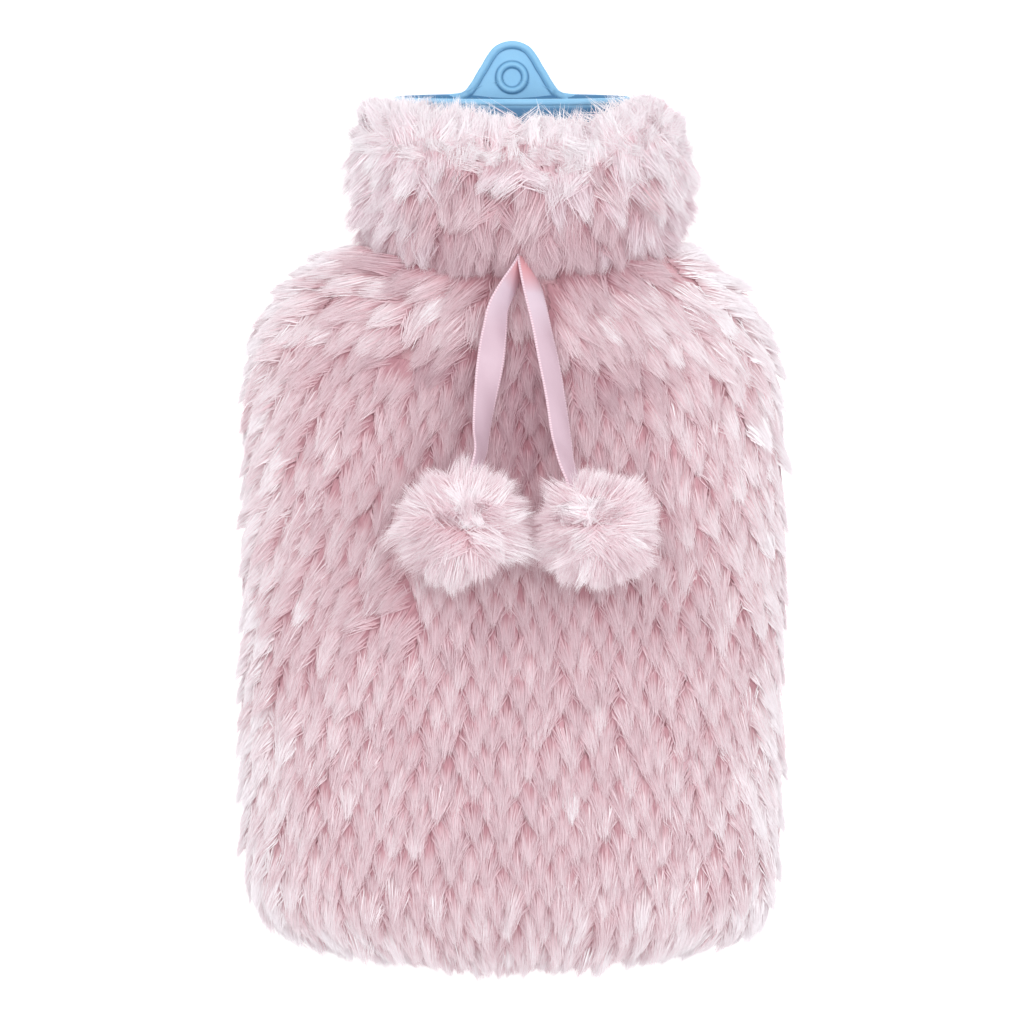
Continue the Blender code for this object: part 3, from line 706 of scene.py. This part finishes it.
def pouch_front(pink, backing):
    """The front's cloth and its tufts. Near the neck they are long and are swept outwards,
    below it they hang in staggered rows, and one patch beside the pompoms is ruffled. Their
    tone is random in part; painted light makes them paler towards the sides, rims, foot and
    lower rows, and painted shadow darkens the hollows under the collar, round the ribbons and
    pompoms and below the swept band."""
    rng = np.random.default_rng(11)
    grid = pouch_surface(161, 201, FRONT_RISE, 1)
    cloth = Cloth(grid)
    spots = tuft_spots(cloth, *FRONT_TUFTS, rng, 0.35, 0.08)
    spots = spots[np.argsort(spots[:, 1])]
    place = cloth.look(spots)[:, :3]
    s, t = spots.T
    some = rng.normal(0, 1, (5, len(spots)))
    swept = bell(t, 0.105)
    ruffled = hill(place, -0.048, -0.034, 0.016, 0.013)
    rim = within((np.abs(s) - 0.72) / 0.28)
    foot = within((t - 0.80) / 0.20)
    last = within((t - 0.92) / 0.06)
    # the tufts' tone: a random part; painted light that makes them paler towards the sides, the
    # rims, the foot and the lower rows; paler over the shoulders; and the painted shadow and light
    # of the front's table of hills and hollows
    tone_and_painted_light = (0.690 + 0.13 * swept * np.minimum(np.abs(s) / 0.3, 1) + 0.20 * np.abs(s) ** 2
            + 0.12 * np.maximum(rim, foot) + 0.12 * within((t - 0.6) / 0.4)
            + 0.05 * swept * some[4] + sum(
                much * hill(place, *mm(*where)) for much, *where in FRONT_PAINTED_LIGHT))
    length = 0.0150 + 0.0065 * swept + (0.0010 + 0.0015 * swept + 0.0014 * foot) * some[0]
    aside = np.where(s < 0, 0.50 + 0.50 * bell(t - 0.36, 0.2), 0.28) * s * (1 - 0.5 * t)
    nap = dict(length=length * (1 - 0.45 * swept * rim) * (1 - 0.20 * rim) * (1 - 0.50 * last),
               lean=(0.60 * np.tanh(s / 0.22) * (1 - 0.5 * np.abs(s)) * swept + aside
                     - 0.20 * ruffled + (0.09 + 0.16 * swept + 0.36 * ruffled) * some[1]),
               rise=(0.04 + 0.10 * swept + 0.08 * rim + 0.20 * foot + 0.40 * last
                     + (0.04 + 0.18 * foot + 0.08 * rim) * some[2]),
               curl=(0.05 + 0.06 * swept + 0.12 * ruffled) * some[3], wide=0.0050 + 0.0006 * swept,
               gather=0.58 - 0.08 * swept, point=0.38, lift=0.0016, stray=0.08, shade=tone_and_painted_light,
               # painted shade at each tuft's sides, less towards the left and right edges
               dim=0.20 * (1 - np.minimum(1.2 * s**2, 1)), uneven=0.05, own_face=0.07)
    grown = coat(cloth, spots, FRONT_STRANDS, rng, nap)
    pile = [fur(f"front_fur_{word}", grown, pink, (third / 3, (third + 1) / 3))
            for third, word in enumerate(("top", "middle", "bottom"))]
    return skin_of("front_cloth", grid[::4, ::4], 1, PILE, backing), pile


def pouch_back(pink, backing):
    """The back's cloth and its tufts, pressed flat by the surface that it lies on; painted light
    makes them paler towards the edges and the foot.
    """
    rng = np.random.default_rng(12)
    grid = pouch_surface(161, 201, BACK_DROP, -1)
    grid[..., 2] = np.maximum(grid[..., 2], BACK_FLAT)
    cloth = Cloth(grid, side=-1)
    spots = tuft_spots(cloth, *BACK_TUFTS, rng, 0.35)
    s, t = spots.T
    nap = dict(length=rng.normal(0.0185, 0.0018, len(s)), pile=BACK_PILE, wide=0.0058,
               lean=0.32 * s * (1 - 0.5 * t) + rng.normal(0, 0.12, len(s)),
               # paler towards the edges and the foot: painted light
               shade=0.74 + 0.16 * np.abs(s) ** 3 + 0.14 * within((t - 0.84) / 0.16))
    grown = coat(cloth, spots, BACK_STRANDS, rng, nap)
    skin = skin_of("back_cloth", grid[::4, ::4], -1, BACK_PILE, backing)
    return skin, [fur("back_fur", grown, pink)]


def ruff(pink, white, backing):
    """The collar: long locks hang from its parting down to its hem, some cross the parting,
    short pale ones stand along its top edge, loose ones lie all ways on the parting, and
    single hairs stray over the bottle."""
    rng = np.random.default_rng(13)
    grid = collar_surface(181, 121)
    cloth = Cloth(grid, side=-1, wraps=True)
    wave = lambda spots: 0.035 * np.sin(11 * spots[:, 0] + 2) + 0.030 * np.sin(29 * spots[:, 0])
    band = lambda reach, low, high, count: np.stack(
        [rng.uniform(-reach, reach, count), rng.uniform(low, high, count)], 1)
    low = tuft_spots(cloth, *COLLAR_TUFTS, rng, jitter=0.28)
    low = low[low[:, 1] + 0.03 * rng.normal(0, 1, len(low)) < COLLAR_PART + 0.06 + wave(low)]
    low = np.vstack([low, band(0.11, 0.05, 0.30, HEM_TUFTS)])
    high = tuft_spots(cloth, *COLLAR_TOP_TUFTS, rng, jitter=0.40)
    high = high[(high[:, 1] > COLLAR_PART + wave(high) + 0.05 * rng.normal(0, 1, len(high)))
                & (high[:, 1] < 0.95)]

    def facts(spots, quarter):
        """Where the tufts lie: place, way round, share of the side and of the parting's
        nearness, whether they face the camera, and five random numbers each."""
        place = cloth.look(spots)[:, :3]
        way = (spots[:, 0] + 1) % 2 - 1
        edge = within((np.abs(place[:, 0] - COLLAR_X) - 0.030) / 0.030)
        near = bell(spots[:, 1] - COLLAR_PART, 0.07)
        return (place, np.clip(way / quarter, -1, 1), edge, near, np.abs(way) < 0.56,
                rng.normal(0, 1, (5, len(spots))))

    place, aside, edge, near, seen, some = facts(low, 0.45)
    drop = place[:, 1] - HEM_Y - HEM_ARCH * ((place[:, 0] - COLLAR_X) / HEM_SPAN) ** 2
    mouth = 0.0030 * bell(place[:, 0] - 0.002, 0.008)
    hang = dict(length=np.minimum((0.0190 + 0.0030 * some[0]) * (1 - 0.25 * edge),
                                  drop + 0.0075 - mouth),
                lean=(np.pi - np.where(aside < 0, 0.62, 0.36) * aside * np.clip(drop / 0.02, 0.3, 1)
                      + (0.22 + 0.22 * near * (1 - edge)) * some[1]),
                rise=0.12 + 0.25 * near * (1 - edge) + 0.46 * edge + (0.10 + 0.12 * edge) * some[2],
                curl=0.18 * some[3], wide=0.0052 - 0.0016 * edge, gather=0.50, point=0.45,
                # the shade darkens the hanging locks towards the hem, painted shade, and turns them
                # paler at the sides, partly their own paler colour and partly painted light; the
                # side share is painted shade at each tuft's sides
                pile=COLLAR_PILE, shade=np.clip(0.26 + 11 * drop, 0, 0.76) + 0.24 * edge,
                dim=0.16 * (1 - edge), up=0.35 + 0.7 * edge, stray=0.15)
    pale = 1.2 * edge + 0.8 * near + 0.25 * some[4] > 0.50
    pink_parts = [*coat(cloth, low, HANGING_STRANDS, rng, hang, seen & ~pale),
                  *coat(cloth, low, HANGING_HIDDEN, rng, hang, ~seen)]
    side_parts = coat(cloth, low, PALE_STRANDS, rng, hang | dict(stray=0.18), seen & pale)

    place, aside, edge, near, seen, some = facts(high, 0.5)
    top = np.interp(place[:, 0], *TOP_LINE.T) - place[:, 1]
    crest = within((top - 0.008) / 0.006)
    stand = dict(length=np.clip(top * (1 + 0.10 * some[0]), 0.0024, 0.0150),
                 lean=(1 - 0.7 * crest) * (
                     0.9 * aside * (1 - edge) + 0.35 * np.sin(23 * high[:, 0] + 1)
                     + (0.60 + 1.0 * near) * some[1]),
                 rise=(np.where(high[:, 1] > 0.78, 0.20, 0.42 - 0.10 * edge) * (1 - 0.6 * crest)
                       + 0.22 * some[2]),
                 curl=0.24 * some[3], wide=0.0032, ahead=0.0030, gather=0.55, pile=COLLAR_PILE,
                 shade=0.90 + 0.05 * some[4], up=0.7 + 0.6 * edge, stray=0.22)
    high_parts = [*coat(cloth, high, STANDING_STRANDS, rng, stand, seen),
                  *coat(cloth, high, STANDING_HIDDEN, rng, stand, ~seen)]
    count = LOOSE_TUFTS
    loose = np.stack([rng.uniform(-0.58, 0.58, count), rng.normal(0.66, 0.085, count)], 1)
    high_parts.append(grow(
        cloth, loose, 46, rng, length=rng.normal(0.0085, 0.0014, count),
        lean=rng.uniform(-np.pi, np.pi, count), rise=rng.normal(0.70, 0.22, count),
        curl=rng.normal(0, 0.30, count), wide=0.0034, ahead=0.0030, gather=0.45, pile=0.0015,
        strand=0.00015, shade=0.92, uneven=0.05, up=1.2, stray=0.30, straight=True))
    count = STRAY_TUFTS
    high_parts.append(grow(
        cloth, band(0.36, 0.74, 0.86, count), 5, rng, length=rng.normal(0.0108, 0.0020, count),
        lean=rng.normal(0, 0.8, count), rise=rng.normal(0.25, 0.15, count),
        curl=rng.normal(0, 0.40, count), wide=0.0030, ahead=0.0020, gather=0.5, pile=0.0010,
        strand=0.00013, shade=0.97, uneven=0.02, stray=0.3))
    pile = [fur("collar_fur_low", pink_parts, pink),
            fur("collar_fur_side", side_parts, white, ridged=True),
            fur("collar_fur_high", high_parts, white, ridged=True)]
    skin = grid[::4, ::3].copy()
    depth = np.full((len(skin), 1, 1), 0.0030)
    depth[0], skin[0, :, 1] = 0.0045, skin[0, :, 1] - 0.0045
    return skin_of("collar_cloth", skin, -1, depth, backing, closed=True), pile


def pompom(name, centre, size, crown, length, streaks, seed, finish, backing):
    """A pompom: a round core, locks that stand at its crown and lie down away from it, a few
    bright locks that the streaks place, and some that lie over the crown. The locks that
    nobody sees from above have fewer and wider strands."""
    rng = np.random.default_rng(seed)
    ball = Ball(centre, (size, 0.0138, 0.0140), crown)
    spots = ball_spots(140, rng)
    some = lambda middle, spread: rng.normal(middle, spread, len(spots))
    facing = within(spots @ ball.crown)
    locks = dict(length=length * some(1, 0.12), rise=0.48 + 0.40 * facing**2 + some(0, 0.16),
                 lean=0.32 * some(0, 1) + rng.uniform(-3.1, 3.1, len(spots))
                 * within((facing - 0.78) / 0.10),
                 curl=some(0, 0.16), wide=0.0046, ahead=0.0044, gather=0.45, pile=0.0020, lift=0.0,
                 bulge=0.20, shade=0.80 + some(0, 0.05), up=0.5, stray=0.22)
    hidden = spots[:, 2] < -0.30
    bright = unit(np.vstack([np.array(streaks), ball.crown + rng.normal(0, 0.22, (16, 3))]))
    count = len(bright)
    over = np.arange(count) >= len(streaks)
    parts = [*coat(ball, spots, POMPOM_STRANDS, rng, locks, ~hidden),
             *coat(ball, spots, POMPOM_HIDDEN, rng, locks, hidden)]
    parts.append(grow(
        ball, bright, 60, rng, length=length * rng.normal(1.0, 0.08, count),
        rise=rng.normal(0.55, 0.08, count), lean=np.pi * over + rng.normal(0, 0.3 + 0.4 * over),
        curl=rng.normal(0, 0.22, count), wide=0.0028, ahead=0.0022, gather=0.70, lift=0.0016,
        strand=0.00019, bulge=0.2, shade=0.94, uneven=0.04, up=0.6))
    pile = fur(f"{name}_fur", parts, finish, ridged=True)
    rings, columns = 24, 48
    turn, fall = np.meshgrid(np.linspace(0, 2 * np.pi, columns, endpoint=False),
                             np.linspace(0.02, np.pi - 0.02, rings))
    skin = np.stack([np.sin(fall) * np.cos(turn), np.sin(fall) * np.sin(turn), np.cos(fall)], -1)
    core = ball.centre + skin * ball.radii * 0.97
    faces = [*net(rings, columns, True), *(face[::-1] for face in ends(rings, columns))]
    return put(name, core, faces, backing), pile


def ribbon_tail(name, table, centre, finish):
    """One tail: a strip whose width is one number, twisted about its middle line until it
    looks as wide as the table says, and slightly cupped; it ends on its pompom's core."""
    centre = np.array(centre)
    way = table[-1, :3] - centre
    end = centre + way / np.linalg.norm(way) * (POMPOM_CORE * 0.965)
    points = along((*table, (*end, 0.0026)), np.linspace(0, 1, TAIL_ROWS))
    middle, half = points[:, :3], points[:, 3]
    twist = np.arccos(within(half / RIBBON_HALF))[:, None]
    run = unit(np.gradient(middle, axis=0))
    level = unit(np.cross(run, (0, 0, 1.0)))
    up = np.cross(level, run)
    wide = level * np.cos(twist) + up * np.sin(twist)
    high = up * np.cos(twist) - level * np.sin(twist)
    share = np.linspace(-1, 1, TAIL_COLUMNS)[None, :, None]
    down = np.linspace(0, 1, TAIL_ROWS)[:, None, None]
    cup = -0.0007 * share**2 + 0.00025 * np.sin(21 * down + 2.0 * share)
    grid = middle[:, None] + wide[:, None] * share * RIBBON_HALF + high[:, None] * cup
    grid[..., 2] += 0.0036 * np.abs(np.sin(twist))
    made = put(name, grid, net(TAIL_ROWS, TAIL_COLUMNS), finish)
    chart = np.concatenate(np.broadcast_arrays(share, down), 2) * (0.49, 0.98) + (0.50, 0.01)
    own_map(made.data, chart.reshape(-1, 2))
    wall = made.modifiers.new("wall", "SOLIDIFY")
    wall.thickness, wall.offset = 0.0005, 0
    return made, float(np.linalg.norm(np.diff(middle, axis=0), axis=1).sum())


def bottle(finish):
    """The bottle: superellipses up its outside, over the lip and down into the funnel; the
    lip's back stands higher than its front in step with the depth. The bottle below the lip and
    the inside of the funnel carry painted shade."""
    table = cubic(BOTTLE, np.arange(4 * len(BOTTLE) - 3) / 4)
    height, width, depth = (table[:, column, None] for column in range(3))
    turn = np.linspace(0, 2 * np.pi, BOTTLE_COLUMNS, endpoint=False)[None, :]
    x, z = around(turn, width, depth, BOTTLE_POWER)
    rise = within((height - LIP_FROM) / (LIP_TOP - LIP_FROM))
    y = height + LIP_LIFT * rise * (0.5 - z / depth / 2)
    # painted shade: the bottle below the lip and, from a few rows past the lip's top, the funnel's
    # inside
    lip_shade = within((0.1597 - height) / 0.0012)
    lip_shade[np.argmax(height) + 3:] = 1
    sides = net(len(table), BOTTLE_COLUMNS, True)[:, ::-1]
    made = put("rubber_bottle", np.stack([x, y, SEAM_Z + z], -1),
               [*sides, *ends(len(table), BOTTLE_COLUMNS)], finish)
    return paint_shade(made, 0.80 * np.repeat(lip_shade, BOTTLE_COLUMNS))


def hanging_tab(finish):
    """The tab: rings from its round mark out to its outline, over the edge and in again on
    its back. Its face rises by a half circle over its outline's bead and over the mark. Painted
    shade darkens the grooves inside the bead and round the mark."""
    right = along(TAB_OUTLINE, np.linspace(0, 1, 240))
    closed = np.vstack([right, right[-2:0:-1] * (1, -1)])[:, ::-1]
    centre = np.array((0.0, TAB_RING_Y))
    angle = np.arctan2(*(closed - centre).T[::-1])
    order = np.argsort(angle)
    turn = np.linspace(-np.pi, np.pi, TAB_SIDES, endpoint=False)
    reach = np.interp(turn, angle[order], np.linalg.norm(closed - centre, axis=1)[order],
                      period=2 * np.pi)
    ray = np.stack([np.cos(turn), np.sin(turn)], 1)
    share = np.concatenate([np.linspace(0.01, 1, TAB_RINGS), np.full(4, 1.0), [0.6, 0.02]])
    flat = centre + ray[None] * (reach[None] * share[:, None])[..., None]
    ring = np.abs(np.linalg.norm(flat - centre, axis=2) - TAB_MARK)
    inward = np.linalg.norm(flat[:, :, None] - closed[None, None, ::3], axis=3).min(2)
    bumps = (np.sqrt(within(1 - (off / half) ** 2))
             for off, half in ((ring, 0.0013), (inward - 0.0014, 0.0015)))
    height = TAB_BACK + TAB_THICK + TAB_RELIEF * np.maximum(*bumps)
    drop = np.array([0, 0.0006, 0.0016, 0.0026])
    height[TAB_RINGS:TAB_RINGS + 4] = TAB_BACK + TAB_THICK - drop[:, None]
    height[TAB_RINGS + 4:] = TAB_BACK
    # painted shade along the grooves inside the bead and round the mark
    groove_shade = sum(bell(off, 0.0003) for off in (inward - 0.0031, ring - 0.0014))
    made = put("hanging_tab", np.concatenate([flat, height[..., None]], 2),
               tube(len(flat), TAB_SIDES), finish)
    return paint_shade(made, 0.80 * groove_shade)


def paint_shade(made, share):
    """Stores how far each point of a rubber piece lies in a groove or under the lip: the share of
    painted shade that the rubber finish darkens it by.
    """
    layer = made.data.attributes.new("deep", "FLOAT", "POINT")
    layer.data.foreach_set("value", within(share).astype(np.float32).ravel())
    return made


def lip_bead(finish):
    """The round bead up the tab's outline and out along the back lip: a circle carried along
    the outline sunk by its radius, which leaves each foot on the lip's own line."""
    steps, sides = 240, 16
    half = along(TAB_OUTLINE[:9, ::-1] - (0, LIP_BEAD), np.linspace(0, 1, 40))
    half[:, 0] -= LIP_BEAD * within(half[:, 0] / 0.006)
    half = np.vstack([half, LIP_LINE])
    path = along(np.vstack([half[:0:-1] * (-1, 1), half]), np.linspace(0, 1, steps))
    run = unit(np.gradient(path, axis=0))
    aside = np.stack([-run[:, 1], run[:, 0]], 1)
    end = within(np.minimum(np.arange(steps), np.arange(steps)[::-1]) / 10)
    size = LIP_BEAD * np.sqrt(np.clip(1 - (1 - end) ** 2, 0.02, 1))
    turn = np.linspace(0, 2 * np.pi, sides, endpoint=False)
    ring = np.stack([np.cos(turn), np.sin(turn)], 1) * size[:, None, None]
    grid = np.concatenate([path[:, None] + aside[:, None] * ring[..., :1],
                           TAB_BACK + TAB_THICK + ring[..., 1:]], 2)
    return put("lip_bead", grid, tube(steps, sides), finish)


def rubber_finish():
    """Moulded rubber: a fine even grain, a bloom that two noises spread unevenly, and painted
    shade in deep blue where each point's stored share says.
    """
    made = Finish("rubber", Specular_IOR_Level=0.4, Coat_Roughness=0.4)
    place = made.here()
    grain = made.noise(place, 2600, 2)
    bloom = made.noise(place, 60, 3)
    deep = made.node("ShaderNodeAttribute", {"attribute_name": "deep"}, {}, "Fac")
    colour = made.ramp(bloom * 0.7 + grain * 0.3, (0.3, screen(127, 183, 220)),
                       (0.7, screen(142, 195, 229)))
    # the painted shade: deep blue where a point's stored share says, in the grooves, below the lip
    # and in the funnel
    made.feed("Base Color", made.mix(deep, colour, screen(48, 104, 150)))
    made.feed("Roughness", bloom * 0.12 + grain * 0.10 + 0.38)
    made.bump(grain, 0.25, 0.0002)
    return made


def satin_finish():
    """Satin ribbon: threads across it, a smooth middle and a paler looped edge on each side; a
    painted highlight lies in a band near its top end, and that end turns salmon.
    """
    made = Finish("satin", Specular_IOR_Level=0.5, Sheen_Weight=0.3, Sheen_Roughness=0.3)
    over, down = made.chart()
    place = made.node("ShaderNodeCombineXYZ", {}, {0: over * 90, 1: down * 900, 2: 0.0})
    threads = made.noise(place, 1.0, 2)
    edge = made.maths_of("ABSOLUTE", over - 0.5) * 2
    loops = made.maths_of("SINE", down * 616) * 0.5 + 0.5
    selvage = made.ramp(edge, (0.80, (0, 0, 0, 1)), (0.86, (1, 1, 1, 1)))
    body = made.ramp(threads, (0.3, screen(197, 170, 184)), (0.7, screen(211, 184, 197)))
    # painted highlight: a paler band a little below the top end
    body = made.mix(made.ramp(down, (0.10, (0, 0, 0, 1)), (0.17, (1, 1, 1, 1)), (0.22, (1, 1, 1, 1)),
                              (0.34, (0, 0, 0, 1))) * 0.45, body, screen(238, 222, 236))
    body = made.mix(made.ramp(down, (0.07, (1, 1, 1, 1)), (0.17, (0, 0, 0, 1))), body,
                    screen(226, 164, 172))
    colour = made.mix(selvage, body, made.mix(loops, screen(214, 180, 193), screen(238, 212, 223)))
    made.feed("Base Color", colour)
    made.feed("Roughness", threads * 0.15 + selvage * 0.25 + 0.30)
    made.bump(threads * 0.5 + selvage * loops, 0.5, 0.00020)
    return made


def main():
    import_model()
    scene = bpy.context.scene
    set_view(scene)
    floor()

    # each fur finish: root, body and tip colours, then the strength of its painted glow; the darker
    # roots are partly the fur's own colour and partly painted shade of the pile's depth
    pink = fur_finish("pink_fur", screen(194, 148, 157), screen(221, 196, 203),
                      screen(232, 220, 225), 0.06)
    white = fur_finish("white_fur", screen(224, 194, 202), screen(238, 226, 233),
                       screen(247, 248, 251), 0.08)
    fluff = fur_finish("pompom_fur", screen(230, 194, 202), screen(233, 215, 222),
                       screen(241, 233, 238), 0.10)
    # the backings' pinks, darker than the strands: partly their own colour, partly painted shade
    # deep in the pile
    backing = backing_finish("backing", screen(208, 158, 166), screen(230, 190, 198))
    heart = backing_finish("pompom_backing", screen(222, 184, 192), screen(236, 204, 211))
    rubber, satin = rubber_finish(), satin_finish()

    front, front_pile = pouch_front(pink, backing)
    back, back_pile = pouch_back(pink, backing)
    collar, collar_pile = ruff(pink, white, backing)
    left, left_pile = pompom("left_core", LEFT_POMPOM, 0.0166, (0.12, 0.36, 0.93), 0.0176,
                             LEFT_STREAKS, 14, fluff, heart)
    right, right_pile = pompom("right_core", RIGHT_POMPOM, 0.0156, (-0.18, 0.33, 0.92), 0.0156,
                               RIGHT_STREAKS, 15, fluff, heart)
    head, tab, bead = (make(rubber) for make in (bottle, hanging_tab, lip_bead))
    tails = [ribbon_tail("ribbon_left", LEFT_TAIL, LEFT_POMPOM, satin),
             ribbon_tail("ribbon_right", RIGHT_TAIL, RIGHT_POMPOM, satin)]

    pieces = {front: ("front_panel", "fur"), back: ("back_panel", "fur"), collar: ("collar", "fur"),
              left: ("pompom_left", "pompom_fur"), right: ("pompom_right", "pompom_fur"),
              head: ("bottle", "rubber"), tails[0][0]: ("ribbon", "satin")}
    for piece, (node, slot) in pieces.items():
        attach(piece, "root")
        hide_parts(node)
    for slot, others in (("fur", [*front_pile, *back_pile, *collar_pile]),
                         ("pompom_fur", [left_pile, right_pile]), ("rubber", [tab, bead]),
                         ("satin", [tails[1][0]])):
        for piece in others:
            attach(piece, "root")


def set_view(scene):
    """The camera straight above, its picture's top to +Y, and soft light all round."""
    scene.view_settings.view_transform = "Standard"
    world = bpy.data.worlds.new("studio")
    world.use_nodes = True
    sky = world.node_tree.nodes["Background"].inputs
    sky["Color"].default_value, sky["Strength"].default_value = (1, 1, 1, 1), DOME
    scene.world = world
    lens = bpy.data.cameras.new("camera")
    lens.lens, lens.clip_end = 36 * 8.0 / 0.4096, 20
    scene.camera = show("camera", lens)
    scene.camera.location = (0, -0.0024, 8.025)
    for name, place, size, power in LAMPS:
        lamp = bpy.data.lights.new(name, "AREA")
        lamp.energy, lamp.size = power, size
        made = show(name, lamp)
        made.location = place
        made.rotation_euler = (-Vector(place)).to_track_quat("-Z", "Y").to_euler()


def floor():
    made = Finish("floor", Base_Color=(0.9, 0.9, 0.9, 1), Roughness=0.9, Emission_Strength=0.45)
    verts = [(-3, -3, 0), (3, -3, 0), (3, 3, 0), (-3, 3, 0)]
    return put("floor", verts, [(0, 1, 2, 3)], made, False)


main()
